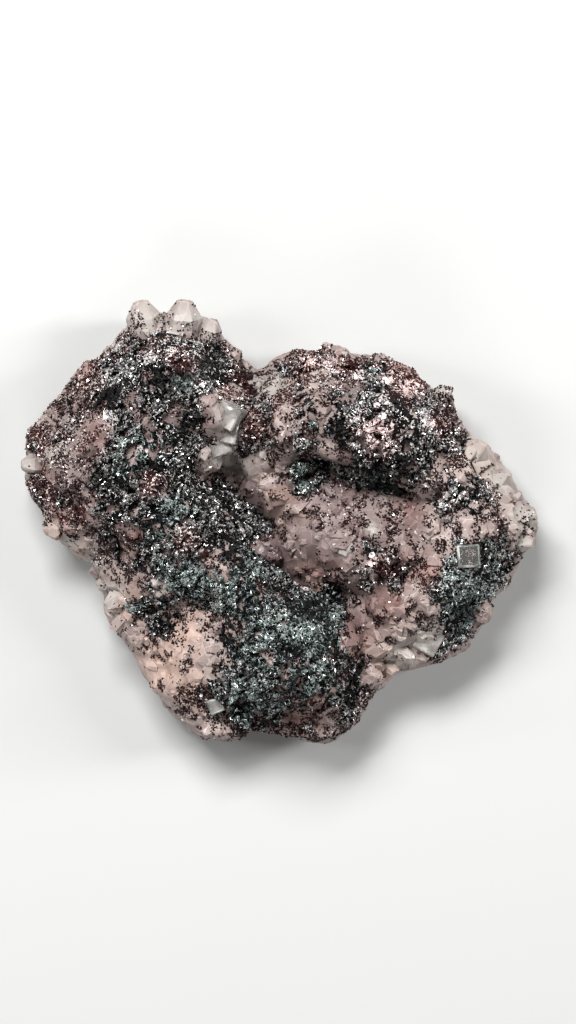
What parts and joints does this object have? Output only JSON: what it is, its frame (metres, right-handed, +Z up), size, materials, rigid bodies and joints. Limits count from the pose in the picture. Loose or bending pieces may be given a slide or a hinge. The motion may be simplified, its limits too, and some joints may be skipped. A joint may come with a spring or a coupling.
{
  "type": "mineral specimen",
  "caption": "Irregular hand specimen: pale quartz crystals under knobbly hematite crusts with clear fluorite cubes, cut flat underneath to lie down.",
  "frame": {"origin": "middle of the footprint's box, on the flat back", "axes": "+Z up from the flat back, +Y towards the end with the two tall quartz points, +X towards the tapered end"},
  "size_m": [0.0672, 0.0578, 0.0258],
  "materials": {
    "quartz": "milky and translucent, with glassy facets",
    "hematite": "bright metallic platelets, blue-grey to black",
    "fluorite": "clear with glassy faces"
  },
  "bodies": {
    "root": {"quartz_matrix": "quartz", "hematite_main_band": "hematite", "hematite_west_rim": "hematite", "hematite_north_west": "hematite", "hematite_south_west": "hematite", "hematite_upper_right": "hematite", "hematite_east_slope": "hematite", "hematite_south_east": "hematite", "hematite_slope_tuft": "hematite", "hematite_ledge_tuft": "hematite", "hematite_saddle_tuft": "hematite", "fluorite_cleft_group": "fluorite", "fluorite_rim_group": "fluorite", "fluorite_east_cube": "fluorite", "fluorite_south_cube": "fluorite"}
  },
  "joints": []
}
